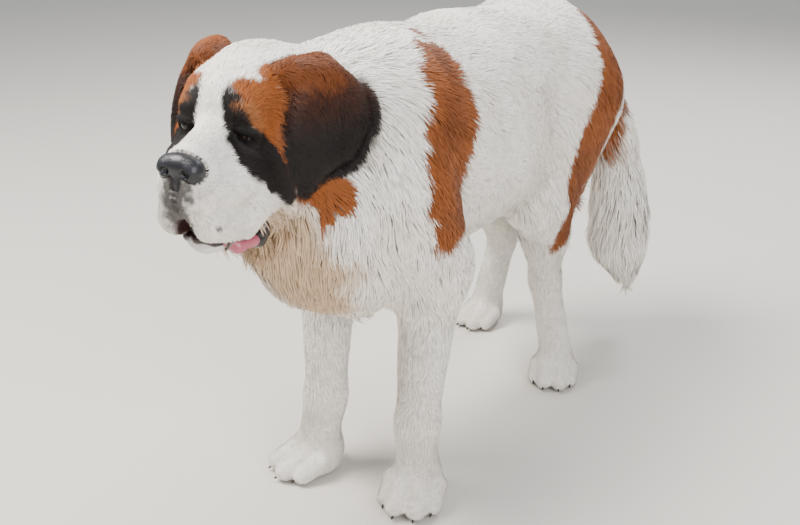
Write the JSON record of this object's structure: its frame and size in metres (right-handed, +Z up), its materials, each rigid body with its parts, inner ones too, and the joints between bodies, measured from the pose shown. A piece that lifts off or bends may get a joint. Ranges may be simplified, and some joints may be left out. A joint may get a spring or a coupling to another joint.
{
  "type": "saint bernard dog, standing",
  "caption": "Life-size standing Saint Bernard with a long white and rust coat, dark mask and drop ears, head turned a little to its left, tail hanging.",
  "frame": {"origin": "middle of the bounding box at floor level", "axes": "-Y is the way the dog faces, +X is its left side, +Z is up"},
  "size_m": [0.4078, 1.3032, 0.8155],
  "materials": {
    "fur_white": "long soft coat, warm white with rust patches",
    "fur_dark": "short soft fur, black brown",
    "nose_leather": "moist, fine pebbled",
    "tongue_skin": "moist",
    "eye_surface": "wet gloss, dark brown"
  },
  "bodies": {
    "root": {"ear_left": "fur_dark", "ear_right": "fur_dark", "eye_left": "eye_surface", "eye_right": "eye_surface", "foreleg_left": "fur_white", "foreleg_right": "fur_white", "forepaw_left": "fur_white", "forepaw_right": "fur_white", "head": "fur_white", "hindpaw_left": "fur_white", "hindpaw_right": "fur_white", "lower_jaw": "fur_white", "neck": "fur_white", "nose_pad": "nose_leather", "shank_left": "fur_white", "shank_right": "fur_white", "tail": "fur_white", "thigh_left": "fur_white", "thigh_right": "fur_white", "tongue": "tongue_skin", "torso": "fur_white"}
  },
  "joints": []
}
